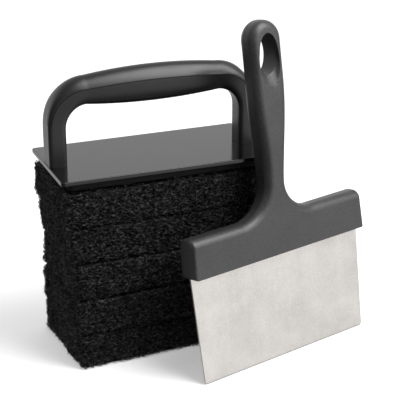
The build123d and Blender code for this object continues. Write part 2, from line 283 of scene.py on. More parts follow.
@dataclass(frozen=True)
class PolishedPlastic(Finish):
    """Glossy black plastic with faint wiping haze, fine dust and a very slight waviness."""

    name: str
    colour: Colour
    roughness: float
    haze: float = 0.05

    def make(self) -> bpy.types.Material:
        """Return the material."""
        material, bench, shader, place = self.start()
        cloud = self.speckle(bench, place, 30.0, 4.0)
        stretched = bench.node("ShaderNodeMapping", {"vector_type": "POINT"},
                               {"Vector": place, "Scale": (60.0, 900.0, 900.0)}).outputs[0]
        wipes = self.speckle(bench, stretched, 1.0, 2.0)
        dust = bench.signal("ShaderNodeValToRGB", {"stops": [(0.68, 0.0), (0.78, 1.0)]},
                            {"Fac": self.speckle(bench, place, 1400.0, 1.0)})
        rough = cloud * self.haze + wipes * self.haze * 0.5 + dust * 0.12 + self.roughness
        bench.tree.links.new(rough.socket, shader.inputs["Roughness"])
        colour = self.tint(bench, dust * 0.5 + cloud * 0.2, self.colour, scaled(self.colour, 2.2))
        bench.tree.links.new(colour, shader.inputs["Base Color"])
        self.bump(bench, shader, cloud, 0.02 * MM, 0.5)
        return material


@dataclass(frozen=True)
class RolledSteel(Finish):
    """Stainless sheet with fine brushing along one direction and a cloudy, handled surface."""

    name: str
    colour: Colour
    roughness: float
    turn: tuple[float, float, float] = (0.0, 0.0, 0.0)
    brushing: float = 0.13

    def make(self) -> bpy.types.Material:
        """Return the material."""
        material, bench, shader, place = self.start()
        along = bench.node("ShaderNodeMapping", {"vector_type": "POINT"},
                           {"Vector": place, "Rotation": self.turn, "Scale": (1.0, 1.0, 1.0)}).outputs[0]
        lines = bench.node("ShaderNodeMapping", {"vector_type": "POINT"},
                           {"Vector": along, "Scale": (2600.0, 2600.0, 45.0)}).outputs[0]
        streaks = self.speckle(bench, lines, 1.0, 3.0, 0.6)
        broad_lines = bench.node("ShaderNodeMapping", {"vector_type": "POINT"},
                                 {"Vector": along, "Scale": (420.0, 420.0, 14.0)}).outputs[0]
        broad = self.speckle(bench, broad_lines, 1.0, 4.0, 0.6)
        cloud = self.speckle(bench, place, 38.0, 5.0, 0.6)
        grain = self.speckle(bench, place, 900.0, 2.0)
        shade = streaks * 0.05 + broad * 0.1 + grain * 0.3 + cloud * 0.55
        colour = self.tint(bench, (shade - 0.5) * 4.0 + 0.5, scaled(self.colour, 1 - self.brushing),
                           scaled(self.colour, 1 + self.brushing))
        bench.tree.links.new(colour, shader.inputs["Base Color"])
        rough = (cloud - 0.5) * 0.16 + (streaks - 0.5) * 0.12 + self.roughness
        bench.tree.links.new(rough.socket, shader.inputs["Roughness"])
        shader.inputs["Metallic"].default_value = 1.0
        self.bump(bench, shader, streaks + broad * 0.5, 0.006 * MM)
        return material


@dataclass(frozen=True)
class TurnedMetal(Finish):
    """Small turned or plated metal parts."""

    name: str
    colour: Colour
    roughness: float

    def make(self) -> bpy.types.Material:
        """Return the material."""
        material, bench, shader, place = self.start()
        fine = self.speckle(bench, place, 1800.0, 3.0)
        colour = self.tint(bench, fine, scaled(self.colour, 0.85), scaled(self.colour, 1.1))
        bench.tree.links.new(colour, shader.inputs["Base Color"])
        bench.tree.links.new((fine * 0.2 + (self.roughness - 0.1)).socket, shader.inputs["Roughness"])
        shader.inputs["Metallic"].default_value = 1.0
        self.bump(bench, shader, fine, 0.01 * MM)
        return material


@dataclass(frozen=True)
class ScouringFibre(Finish):
    """Coarse nylon fibre with resin and grit, black, with paler specks on the fibres that are painted
    highlights.
    """

    name: str
    colour: Colour
    painted_highlight: Colour
    roughness: float
    specular: float = 0.35

    def make(self) -> bpy.types.Material:
        """Return the material."""
        material, bench, shader, place = self.start()
        strand = bench.signal("ShaderNodeAttribute", {"attribute_name": "strand"}, None, "Fac")
        clump = self.speckle(bench, place, 160.0, 4.0)
        layers = bench.node("ShaderNodeMapping", {"vector_type": "POINT"},
                            {"Vector": place, "Scale": (430.0, 430.0, 950.0)}).outputs[0]
        granule = bench.signal("ShaderNodeValToRGB", {"stops": [(0.43, 0.01), (0.62, 1.0)]},
                               {"Fac": self.speckle(bench, layers, 1.0, 2.0)})
        grit = self.speckle(bench, place, 2300.0, 2.0)
        # Painted highlight: where a fibre's random strand tone, the granule specks and the clumps are high,
        # the base colour goes from the black fibre colour to the paler painted highlight colour.
        shade = strand * granule * (0.5 + clump)
        colour = self.tint(bench, shade, self.colour, self.painted_highlight)
        bench.tree.links.new(colour, shader.inputs["Base Color"])
        rough = (grit - 0.5) * 0.3 + self.roughness
        bench.tree.links.new(rough.socket, shader.inputs["Roughness"])
        shader.inputs["Specular IOR Level"].default_value = self.specular
        self.bump(bench, shader, grit + clump * 2.0, 0.25 * MM)
        return material


@dataclass(frozen=True)
class SoftRubber(Finish):
    """Matt foamed rubber or nylon strip with an open, slightly pitted surface."""

    name: str
    colour: Colour
    roughness: float
    pore_pitch: float = 0.5 * MM

    def make(self) -> bpy.types.Material:
        """Return the material."""
        material, bench, shader, place = self.start()
        pores = bench.signal("ShaderNodeTexVoronoi", {"feature": "F1"},
                             {"Vector": place, "Scale": 1.0 / self.pore_pitch}, "Distance")
        cloud = self.speckle(bench, place, 90.0, 3.0)
        colour = self.tint(bench, cloud * 0.5 + pores * 0.5, scaled(self.colour, 0.6),
                           scaled(self.colour, 1.5))
        bench.tree.links.new(colour, shader.inputs["Base Color"])
        bench.tree.links.new((pores * 0.1 + self.roughness).socket, shader.inputs["Roughness"])
        shader.inputs["Specular IOR Level"].default_value = 0.25
        self.bump(bench, shader, pores, 0.12 * MM)
        return material


@dataclass(frozen=True)
class StudioPaper(Finish):
    """Pale seamless paper that the set stands on."""

    name: str
    colour: Colour
    glow: float

    def make(self) -> bpy.types.Material:
        """Return the material."""
        material, bench, shader, place = self.start()
        fibre = self.speckle(bench, place, 500.0, 2.0)
        colour = self.tint(bench, fibre, scaled(self.colour, 0.99), self.colour)
        bench.tree.links.new(colour, shader.inputs["Base Color"])
        shader.inputs["Roughness"].default_value = 0.95
        shader.inputs["Specular IOR Level"].default_value = 0.1
        shader.inputs["Emission Color"].default_value = (1.0, 1.0, 1.0, 1.0)
        shader.inputs["Emission Strength"].default_value = self.glow
        return material


# ---------------------------------------------------------------------------------------------
# Meshes
# ---------------------------------------------------------------------------------------------
def mesh_object(name: str, points: Any, faces: Any) -> bpy.types.Object:
    """Make a mesh object at the origin.

    Args:
        name: The piece's name.
        points: The vertices in metres.
        faces: The faces as lists of vertex numbers.

    Returns:
        The new object, linked to the scene.
    """
    mesh = bpy.data.meshes.new(name)
    mesh.from_pydata([tuple(p) for p in points], [], [tuple(f) for f in faces])
    mesh.update()
    made = bpy.data.objects.new(name, mesh)
    bpy.context.scene.collection.objects.link(made)
    return made


def coat(piece: bpy.types.Object, material: bpy.types.Material) -> None:
    """Give a piece one material in every slot.

    Args:
        piece: The mesh object.
        material: Its material.
    """
    piece.data.materials.clear()
    piece.data.materials.append(material)


def smooth_copy(node: str, name: str, sharp_angle: float) -> bpy.types.Object:
    """Copy a CAD node as a merged mesh with smooth faces and sharp edges.

    Args:
        node: The CAD node to copy.
        name: The new piece's name.
        sharp_angle: Edges that turn more than this many degrees stay sharp.

    Returns:
        The new object, which stands for the node.
    """
    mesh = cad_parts[node].data.copy()
    mesh.name = name
    made = bpy.data.objects.new(name, mesh)
    bpy.context.scene.collection.objects.link(made)
    work = bmesh.new()
    work.from_mesh(mesh)
    bmesh.ops.remove_doubles(work, verts=work.verts, dist=2e-6)
    limit = math.radians(sharp_angle)
    for face in work.faces:
        face.smooth = True
    for edge in work.edges:
        edge.smooth = len(edge.link_faces) == 2 and edge.calc_face_angle(0.0) < limit
    work.to_mesh(mesh)
    work.free()
    evener = made.modifiers.new("even_shading", "WEIGHTED_NORMAL")
    evener.keep_sharp = True
    evener.weight = 100
    return made


def rest_on_floor(piece: bpy.types.Object) -> None:
    """Press whatever reaches below the floor up to it.

    Args:
        piece: The piece.
    """
    spots = np.empty(len(piece.data.vertices) * 3)
    piece.data.vertices.foreach_get("co", spots)
    spots[2::3] = np.maximum(spots[2::3], 0.0)
    piece.data.vertices.foreach_set("co", spots)
    piece.data.update()


def settle(piece: bpy.types.Object, body: str, replaced: tuple[str, ...] = ()) -> None:
    """Tie a piece to the frame and report it.

    Args:
        piece: The finished piece.
        body: The CAD body it rides on.
        replaced: The CAD nodes it stands for.
    """
    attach(piece, body)
    if replaced:
        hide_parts(*replaced)
    log.info("%s rides on %s with %d faces", piece.name, body, len(piece.data.polygons))


def dress_node(node: str, material: bpy.types.Material) -> None:
    """Give a CAD node that stays in view its material, and report it.

    Args:
        node: The CAD node's name.
        material: The material.
    """
    coat(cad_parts[node], material)
    log.info("%s keeps its shape", node)


def flatten(piece: bpy.types.Object) -> None:
    """Turn a piece's modifiers into a plain mesh.

    Args:
        piece: The object, whose modifiers are used up.
    """
    bpy.context.view_layer.update()
    evaluated = piece.evaluated_get(bpy.context.evaluated_depsgraph_get())
    plain = bpy.data.meshes.new_from_object(evaluated)
    piece.modifiers.clear()
    piece.data = plain


# ---------------------------------------------------------------------------------------------
# Geometry trees
# ---------------------------------------------------------------------------------------------
class Tree:
    """A geometry tree with named inputs, used through a modifier."""

    def __init__(self, name: str, inputs: dict[str, tuple[str, Any]]) -> None:
        """Make the tree and its inputs.

        Args:
            name: The tree's name.
            inputs: Socket type and starting value of each input, by name.
        """
        self.group = bpy.data.node_groups.new(name, "GeometryNodeTree")
        self.bench = Bench(self.group)
        sockets = self.group.interface
        sockets.new_socket("Geometry", in_out="INPUT", socket_type="NodeSocketGeometry")
        for label, (kind, value) in inputs.items():
            made = sockets.new_socket(label, in_out="INPUT", socket_type=kind)
            if value is not None:
                made.default_value = value
        sockets.new_socket("Geometry", in_out="OUTPUT", socket_type="NodeSocketGeometry")
        self.start = self.bench.node("NodeGroupInput")

    def entry(self, label: str) -> Signal:
        """Return a named input inside the tree."""
        return Signal(self.bench, self.start.outputs[label])

    def end(self, geometry: Any) -> None:
        """Finish the tree with realized geometry and its material.

        Args:
            geometry: The geometry socket to hand out.
        """
        real = self.bench.node("GeometryNodeRealizeInstances", None, {0: geometry})
        coated = self.bench.node("GeometryNodeSetMaterial", None,
                                 {"Geometry": real.outputs[0], "Material": self.start.outputs["Finish"]})
        self.bench.node("NodeGroupOutput", None, {0: coated.outputs[0]})

    def apply(self, piece: bpy.types.Object, values: dict[str, Any]) -> None:
        """Run the tree on a piece and keep the result as its plain mesh.

        Args:
            piece: The object to change.
            values: Input values by name.
        """
        modifier = piece.modifiers.new(self.group.name, "NODES")
        modifier.node_group = self.group
        for item in self.group.interface.items_tree:
            if item.in_out == "INPUT" and item.name in values:
                modifier[item.identifier] = values[item.name]
        flatten(piece)


def fibre_tree() -> Tree:
    """Build the tree that covers a pad's core with curled fibres.

    Returns:
        The tree. Its mesh input has a point attribute "fringe" that scales the density.
    """
    tree = Tree("curled_fibres", {
        "Density": ("NodeSocketFloat", 1000.0), "Seed": ("NodeSocketInt", 1),
        "Length": ("NodeSocketFloat", 8 * MM), "Lift": ("NodeSocketFloat", 2 * MM),
        "Curl": ("NodeSocketFloat", 2 * MM), "Thickness": ("NodeSocketFloat", 0.3 * MM),
        "Finish": ("NodeSocketMaterial", None)})
    bench = tree.bench
    fringe = bench.signal("GeometryNodeInputNamedAttribute", {"data_type": "FLOAT"}, {"Name": "fringe"})
    spots = bench.node("GeometryNodeDistributePointsOnFaces", {"distribute_method": "RANDOM"},
                       {"Mesh": tree.entry("Geometry"), "Density": fringe * tree.entry("Density"),
                        "Seed": tree.entry("Seed")})
    half = tree.entry("Length") * 0.5
    ends = [bench.signal("ShaderNodeCombineXYZ", None, {"X": half * side, "Z": tree.entry("Lift") * -0.5})
            for side in (-1.0, 1.0)]
    crest = bench.signal("ShaderNodeCombineXYZ", None, {"X": 0.0, "Z": tree.entry("Lift") * 2.0})
    strand = bench.node("GeometryNodeCurveQuadraticBezier", None,
                        {"Resolution": 3, "Start": ends[0], "Middle": crest, "End": ends[1]})
    layer = bench.node("ShaderNodeVectorMath", {"operation": "CROSS_PRODUCT"},
                       {0: spots.outputs["Normal"], 1: (0.0, 0.0, 1.0)})
    layered = bench.node("FunctionNodeAlignRotationToVector", {"axis": "X", "pivot_axis": "Z"},
                         {"Rotation": spots.outputs["Rotation"], "Vector": layer.outputs[0]})
    spin = bench.node("FunctionNodeRandomValue", {"data_type": "FLOAT_VECTOR"},
                      {0: (-0.5, -0.5, -0.9), 1: (0.5, 0.5, 0.9), "Seed": tree.entry("Seed")})
    turned = bench.node("FunctionNodeRotateRotation", {"rotation_space": "LOCAL"},
                        {"Rotation": layered.outputs[0], "Rotate By": spin.outputs[0]})
    size = bench.node("FunctionNodeRandomValue", {"data_type": "FLOAT"}, {2: 0.5, 3: 1.8, "Seed": 7})
    # Each fibre gets a random strength for the painted highlight, stored as its strand value; the bare core
    # has none and stays black.
    painted_glint_strength = bench.node("FunctionNodeRandomValue", {"data_type": "FLOAT"}, {2: 0.12, 3: 1.0, "Seed": 11})
    glint_marked_points = bench.node("GeometryNodeStoreNamedAttribute", {"data_type": "FLOAT", "domain": "POINT"},
                       {"Geometry": spots.outputs["Points"], "Name": "strand", "Value": painted_glint_strength.outputs[1]})
    strands = bench.node("GeometryNodeInstanceOnPoints", None,
                         {"Points": glint_marked_points.outputs[0], "Instance": strand.outputs[0],
                          "Rotation": turned.outputs[0], "Scale": size.outputs[1]})
    loose = bench.node("GeometryNodeRealizeInstances", None, {0: strands.outputs[0]})
    where = bench.node("GeometryNodeInputPosition")
    drift = bench.node("ShaderNodeTexNoise", {"noise_dimensions": "3D"},
                       {"Vector": where.outputs[0], "Scale": 500.0, "Detail": 1.0})
    centred = bench.node("ShaderNodeVectorMath", {"operation": "SUBTRACT"},
                         {0: drift.outputs["Color"], 1: (0.5, 0.5, 0.5)})
    push = bench.node("ShaderNodeVectorMath", {"operation": "SCALE"},
                      {0: centred.outputs[0], "Scale": tree.entry("Curl") * 2.0})
    curled = bench.node("GeometryNodeSetPosition", None,
                        {"Geometry": loose.outputs[0], "Offset": push.outputs[0]})
    round_wire = bench.node("GeometryNodeCurvePrimitiveCircle", {"mode": "RADIUS"},
                            {"Resolution": 3, "Radius": tree.entry("Thickness") * 0.5})
    wires = bench.node("GeometryNodeCurveToMesh", None,
                       {"Curve": curled.outputs[0], "Profile Curve": round_wire.outputs[0],
                        "Fill Caps": True})
    whole = bench.node("GeometryNodeJoinGeometry")
    tree.group.links.new(wires.outputs[0], whole.inputs[0])
    tree.group.links.new(tree.start.outputs["Geometry"], whole.inputs[0])
    tree.end(whole.outputs[0])
    return tree


def hook_tree() -> Tree:
    """Build the tree that plants small bent hooks on every point of a flat grid.

    Returns:
        The tree.
    """
    tree = Tree("bent_hooks", {
        "Height": ("NodeSocketFloat", 0.9 * MM), "Bend": ("NodeSocketFloat", 0.5 * MM),
        "Thickness": ("NodeSocketFloat", 0.28 * MM), "Finish": ("NodeSocketMaterial", None)})
    bench = tree.bench
    top = tree.entry("Height") * -1.0
    hook = bench.node("GeometryNodeCurveQuadraticBezier", None, {
        "Resolution": 4, "Start": (0.0, 0.0, 0.0),
        "Middle": bench.signal("ShaderNodeCombineXYZ", None, {"Z": top * 2.0}),
        "End": bench.signal("ShaderNodeCombineXYZ", None, {"X": tree.entry("Bend"), "Z": top * 0.45})})
    wire = bench.node("GeometryNodeCurvePrimitiveCircle", {"mode": "RADIUS"},
                      {"Resolution": 4, "Radius": tree.entry("Thickness") * 0.5})
    solid = bench.node("GeometryNodeCurveToMesh", None,
                       {"Curve": hook.outputs[0], "Profile Curve": wire.outputs[0], "Fill Caps": True})
    spin = bench.node("FunctionNodeRandomValue", {"data_type": "FLOAT_VECTOR"},
                      {0: (-0.15, -0.15, -math.pi), 1: (0.15, 0.15, math.pi), "Seed": 3})
    field_of = bench.node("GeometryNodeInstanceOnPoints", None,
                          {"Points": tree.entry("Geometry"), "Instance": solid.outputs[0],
                           "Rotation": spin.outputs[0]})
    tree.end(field_of.outputs[0])
    return tree


# ---------------------------------------------------------------------------------------------
# Sub-assemblies
# ---------------------------------------------------------------------------------------------
class StackPlace(Enum):
    """The places in the stack of pads, from the top, with the body each pad rides on."""

    TOP = (1, "top_pad")
    SECOND = (2, "second_pad")
    THIRD = (3, "third_pad")
    FOURTH = (4, "fourth_pad")
    LOWEST = (5, "lowest_pad")

    @property
    def node(self) -> str:
        """The CAD node of the pad in this place."""
        return f"scouring_pad_{self.value[0]}"

    @property
    def body(self) -> str:
        """The CAD body of the pad in this place."""
        return self.value[1]


@dataclass
class ScouringPad:
    """One thick non-woven pad: a ragged core covered with curled fibres."""

    place: StackPlace
    turn: float
    length: float = 152.0 * MM
    depth: float = 75.0 * MM
    round: float = 3.2 * MM
    core_shrink: float = 1.1 * MM
    pitch: float = 1.5 * MM
    swell: float = 1.6 * MM
    lumps: float = 1.1 * MM
    crumbs: float = 1.3 * MM
    face_relief: float = 0.35 * MM
    rim_reach: float = 9.0 * MM
    rim_drop: float = 0.9 * MM
    density: float = 9.5e5
    face_density: float = 0.10
    strand_length: float = 2.9 * MM
    strand_lift: float = 1.3 * MM
    strand_curl: float = 1.6 * MM
    strand_thickness: float = 0.38 * MM

    def build(self, tree: Tree, material: bpy.types.Material) -> bpy.types.Object:
        """Make the pad where its CAD solid lies.

        Args:
            tree: The tree that adds the fibres.
            material: The fibre's material.

        Returns:
            The finished pad.
        """
        low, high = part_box(self.place.node)
        middle = (low + high) / 2
        half = Vector((self.length / 2, self.depth / 2, (high.z - low.z) / 2))
        points, faces = self.shell(half)
        turn = Matrix.Rotation(math.radians(self.turn), 3, "Z")
        placed, fringe = [], []
        for point in points:
            spot, share = self.roughen(point, half)
            placed.append(turn @ spot + middle)
            fringe.append(share)
        pad = mesh_object(f"{self.place.node}_web", placed, faces)
        attribute = pad.data.attributes.new("fringe", "FLOAT", "POINT")
        attribute.data.foreach_set("value", fringe)
        coat(pad, material)
        tree.apply(pad, {"Density": self.density, "Seed": 20 + self.place.value[0],
                         "Length": self.strand_length, "Lift": self.strand_lift, "Curl": self.strand_curl,
                         "Thickness": self.strand_thickness, "Finish": material})
        rest_on_floor(pad)
        settle(pad, self.place.body, (self.place.node,))
        return pad

    def shell(self, half: Vector) -> tuple[list[Vector], list[tuple[int, ...]]]:
        """Return the points and faces of an evenly divided box with rounded edges.

        Args:
            half: Half the box's length, depth and thickness.

        Returns:
            The points, about the box's middle, and the faces, pointing outwards.
        """
        counts = [max(2, round(2 * half[axis] / self.pitch)) for axis in range(3)]
        index: dict[tuple[int, int, int], int] = {}
        points: list[Vector] = []
        faces: list[tuple[int, ...]] = []

        def corner(cell: tuple[int, int, int]) -> int:
            """Return the number of one lattice point, adding it when it is new."""
            if cell not in index:
                index[cell] = len(points)
                flat = Vector([(2 * cell[a] / counts[a] - 1) * half[a] for a in range(3)])
                inner = self.core_point(flat, half)
                out = flat - inner
                points.append(inner + out.normalized() * self.round if out.length > 0 else flat)
            return index[cell]

        for axis in range(3):
            one, two = (axis + 1) % 3, (axis + 2) % 3
            for side in (0, counts[axis]):
                for i in range(counts[one]):
                    for j in range(counts[two]):
                        cells = []
                        for step_one, step_two in ((0, 0), (1, 0), (1, 1), (0, 1)):
                            cell = [0, 0, 0]
                            cell[axis], cell[one], cell[two] = side, i + step_one, j + step_two
                            cells.append(corner(tuple(cell)))
                        faces.append(tuple(cells if side else cells[::-1]))
        return points, faces

    def core_point(self, point: Vector, half: Vector) -> Vector:
        """Return the nearest point of the box that the rounding is measured from."""
        return Vector([max(-half[a] + self.round, min(half[a] - self.round, point[a])) for a in range(3)])

    def roughen(self, point: Vector, half: Vector) -> tuple[Vector, float]:
        """Move one point of the shell as ragged fibre lies, and say how many fibres grow there.

        Args:
            point: The point, about the pad's middle.
            half: Half the pad's length, depth and thickness.

        Returns:
            The moved point and the share of the full fibre density.
        """
        inner = self.core_point(point, half)
        out = (point - inner).normalized()
        flat = abs(out.z)
        seed = Vector((0.0, 0.0, 3.7 * self.place.value[0]))
        broad = noise.noise(point / (26 * MM) + seed)
        lump = noise.noise(point / (7 * MM) + seed * 2)
        crumb = noise.noise(point / (2.6 * MM) + seed * 3)
        side_move = broad * self.swell + lump * self.lumps + crumb * self.crumbs
        margin = min(half.x - abs(point.x), half.y - abs(point.y))
        rim = max(0.0, 1 - margin / self.rim_reach) ** 2
        wave = noise.noise(point / (19 * MM) + seed * 4)
        face_move = -abs(lump + crumb) * self.face_relief - rim * self.rim_drop * (0.5 + wave + 0.5 * lump)
        moved = point + out * ((side_move - self.core_shrink) * (1 - flat) + face_move * flat)
        moved.z = max(-half.z, min(half.z, moved.z))
        return moved, 1.0 - (1.0 - self.face_density) * min(1.0, flat ** 3)


@dataclass
class LoopHandle:
    """The looped handle: a core that runs from foot to foot, and a domed cover over its outside.

    Places along the arch run from 0 at the left foot, over 1 and 2 at the ends of the left bend and 3 and 4
    at those of the right bend, to 5 at the right foot.
    """

    outer_x: float = 75.9
    leg_thickness: float = 13.2
    leg_width: float = 16.0
    leg_squareness: float = 6.0
    inner_bend: float = 15.0
    finger_height: float = 41.0
    shoulder_thickness: float = 19.4
    shoulder_width: float = 18.0
    shoulder_squareness: float = 3.2
    belly: float = 3.0
    crown: float = 3.1
    grip_width: float = 20.0
    grip_squareness: float = 2.5
    cover_end_height: float = 30.0
    cover_end_thickness: float = 2.0
    cover_shoulder: float = 7.4
    cover_crown: float = 8.3
    facet_depth: float = 0.35
    dome_power: float = 0.92
    groove: float = 0.4
    groove_depth: float = 0.7
    columns: int = 60
    wall_columns: int = 28
    rows: int = 190
    leg_rows: int = 16

    def station(self, u: np.ndarray) -> dict[str, np.ndarray]:
        """Return the section's sizes at places along the arch.

        Args:
            u: Places from 0 to 5.

        Returns:
            Middle, turn, width, thickness, squareness, parting height and doming of each section, in
            millimetres and radians, with the side of the arch in "side".
        """
        side = np.where(u > 2.5, -1.0, 1.0)
        u = np.where(u > 2.5, 5.0 - u, u)
        shoulder_x = self.outer_x - self.leg_thickness - self.inner_bend
        bend_height = self.finger_height - self.inner_bend
        turn = np.clip(u - 1, 0, 1) * math.pi / 2
        share = np.sin(turn) ** 2
        place = np.clip(u - 2, 0, 1) * 2 - 1
        full = np.where(u > 2, 1 - place ** 2, 0.0)
        shoulder_top = self.finger_height + self.shoulder_thickness
        top = shoulder_top + self.crown * full
        underside = self.finger_height - self.belly * full
        thick = self.leg_thickness + (self.shoulder_thickness - self.leg_thickness) * share
        reach = self.inner_bend + thick / 2
        middle_x = np.where(u > 2, place * shoulder_x, -shoulder_x - reach * np.cos(turn))
        middle_z = np.where(u > 2, (top + underside) / 2,
                            np.minimum(u, 1) * bend_height + reach * np.sin(turn))
        cover_bend = self.outer_x - self.cover_end_thickness - shoulder_x
        rise = shoulder_top - self.cover_shoulder - cover_bend - bend_height
        sag = self.crown - (self.cover_crown - self.cover_shoulder)
        arc = ((shoulder_x ** 2) + sag ** 2) / (2 * sag)
        drop = arc - np.sqrt(arc ** 2 - (place * shoulder_x) ** 2)
        parting_z = shoulder_top - self.cover_shoulder + sag - drop
        parting_bend = rise * np.sin(turn) + np.sqrt(cover_bend ** 2 - (rise * np.cos(turn)) ** 2) - reach
        width = self.leg_width + (self.shoulder_width - self.leg_width) * share
        width = width + (self.grip_width - self.shoulder_width) * full
        square = self.leg_squareness + (self.shoulder_squareness - self.leg_squareness) * share
        square = square + (self.grip_squareness - self.shoulder_squareness) * full
        return {"side": side, "x": middle_x, "z": middle_z, "turn": turn, "width": width,
                "thick": np.where(u > 2, top - underside, thick), "square": square,
                "parting": np.where(u > 2, parting_z - middle_z, parting_bend), "dome": share * share}

    @staticmethod
    def place(at: dict[str, np.ndarray], across: np.ndarray, out: np.ndarray) -> np.ndarray:
        """Return points in millimetres above the plate's middle.

        Args:
            at: The stations, one for each point.
            across: How far each point lies across the handle.
            out: How far each point lies out from the section's middle.

        Returns:
            The points, one row each.
        """
        x = at["side"] * (at["x"] - np.cos(at["turn"]) * out)
        z = at["z"] + np.sin(at["turn"]) * out
        return np.stack([x, across, z], axis=-1)

    def half_width(self, at: dict[str, np.ndarray], out: np.ndarray) -> np.ndarray:
        """Return half the section's width at a height out from its middle."""
        share = np.clip(np.abs(out) / (at["thick"] / 2), 0, 1) ** at["square"]
        return at["width"] / 2 * np.maximum(1 - share, 0) ** (1 / at["square"])

    def outside(self, at: dict[str, np.ndarray], t: np.ndarray, dome: np.ndarray) -> np.ndarray:
        """Return points on the outer side, from the parting line at t -1 to the one at t 1."""
        reach = self.half_width(at, at["parting"])
        share = np.sin(t * math.pi / 2)
        across = reach * share
        full = at["thick"] / 2 * np.maximum(1 - np.abs(across / (at["width"] / 2)) ** at["square"],
                                            0) ** (1 / at["square"])
        dome_height = at["thick"] / 2 - at["parting"]
        domed = at["parting"] + dome_height * np.maximum(1 - share ** 2, 0) ** self.dome_power
        return self.place(at, across, full + (domed - full) * dome)

    def inside(self, at: dict[str, np.ndarray], t: np.ndarray) -> np.ndarray:
        """Return points on the inner side, from one parting line at t 1 round to the other at t -1."""
        level = at["parting"] - self.groove
        sine = np.sign(level) * (np.abs(level) / (at["thick"] / 2)) ** (at["square"] / 2)
        start = np.arcsin(np.clip(sine, -1, 1))
        angle = -math.pi / 2 + t * (start + math.pi / 2)
        power = 2 / at["square"]
        across = np.sign(np.cos(angle)) * np.abs(np.cos(angle)) ** power * at["width"] / 2
        out = np.sign(np.sin(angle)) * np.abs(np.sin(angle)) ** power * at["thick"] / 2
        return self.place(at, across, out)

    def wall(self, at: dict[str, np.ndarray], t: np.ndarray, lift: float) -> np.ndarray:
        """Return points on the parting surface, a little in from the handle's sides."""
        reach = self.half_width(at, at["parting"]) - self.groove_depth
        return self.place(at, reach * t, at["parting"] + lift)

    def cover_ring(self, u: np.ndarray) -> np.ndarray:
        """Return the cover's outline at one place for each of its points."""
        t = np.linspace(-1, 1, self.columns)
        first, last = u[:self.columns], u[self.columns:]
        at, under = self.station(first), self.station(last)
        skin = self.outside(at, t * 0.985, at["dome"])
        return np.concatenate([skin, self.wall(under, np.array([1.0, -1.0]), 0.03)])

    def core_ring(self, u: np.ndarray, low: bool) -> np.ndarray:
        """Return the core's outline at one place for each of its points.

        Args:
            u: A place for each point.
            low: True below the cover's end, where the core has the whole section.

        Returns:
            The outline's points.
        """
        first, last = u[:self.columns], u[self.columns:]
        inner = self.inside(self.station(first), np.linspace(1, -1, self.columns))
        across = np.linspace(-1, 1, self.wall_columns)
        at = self.station(last)
        if not low:
            return np.concatenate([inner, self.wall(at, across, -0.03)])
        outer = self.outside(at, across * 0.985, np.zeros_like(across))
        limit = self.outer_x - self.facet_depth
        outer[:, 0] = np.clip(outer[:, 0], -limit, limit)
        return np.concatenate([inner, outer])

    def level_places(self, ring: Any, count: int) -> np.ndarray:
        """Return the place on the left bend where each point of an outline is at the cover's end.

        Args:
            ring: The function that gives the outline.
            count: The number of its points.

        Returns:
            The places.
        """
        low, high = np.full(count, 0.9), np.full(count, 1.6)
        for _ in range(40):
            middle = (low + high) / 2
            below = ring(middle)[:, 2] < self.cover_end_height
            low, high = np.where(below, middle, low), np.where(below, high, middle)
        return (low + high) / 2

    @staticmethod
    def skin(name: str, rings: list[np.ndarray], floor: float) -> bpy.types.Object:
        """Join outlines to one closed mesh with capped ends.

        Args:
            name: The piece's name.
            rings: The outlines in millimetres.
            floor: The height that they are measured from, in metres.

        Returns:
            The mesh object.
        """
        count = len(rings[0])
        points = np.concatenate(rings) * MM + np.array([0.0, 0.0, floor])
        faces = [(row * count + column, row * count + (column + 1) % count,
                  (row + 1) * count + (column + 1) % count, (row + 1) * count + column)
                 for row in range(len(rings) - 1) for column in range(count)]
        faces.append(tuple(range(count))[::-1])
        faces.append(tuple(range((len(rings) - 1) * count, len(rings) * count)))
        piece = mesh_object(name, points, faces)
        work = bmesh.new()
        work.from_mesh(piece.data)
        bmesh.ops.recalc_face_normals(work, faces=work.faces)
        for face in work.faces:
            face.smooth = True
        for edge in work.edges:
            edge.smooth = edge.calc_face_angle(0.0) < math.radians(30)
        work.to_mesh(piece.data)
        work.free()
        return piece

    def build(self, body: str, material: bpy.types.Material) -> None:
        """Make the core and the cover.

        Args:
            body: The CAD body they ride on.
            material: Their plastic.
        """
        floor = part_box("plate")[1].z
        start = self.level_places(self.cover_ring, self.columns + 2)
        cover = [self.cover_ring(start + (5 - 2 * start) * row / self.rows) for row in range(self.rows + 1)]
        count = self.columns + self.wall_columns
        low_end = self.level_places(lambda u: self.core_ring(u, True), count)
        high_start = self.level_places(lambda u: self.core_ring(u, False), count)
        left = [self.core_ring(low_end * row / self.leg_rows, True) for row in range(self.leg_rows + 1)]
        arch = [self.core_ring(high_start + (5 - 2 * high_start) * row / self.rows, False)
                for row in range(self.rows + 1)]
        right = [self.core_ring(5 - low_end * row / self.leg_rows, True)
                 for row in range(self.leg_rows, -1, -1)]
        for name, rings, node in (("handle_cover_shell", cover, "handle_cover"),
                                  ("handle_core_shell", left + arch + right, "handle_core")):
            piece = self.skin(name, rings, floor)
            coat(piece, material)
            settle(piece, body, (node,))


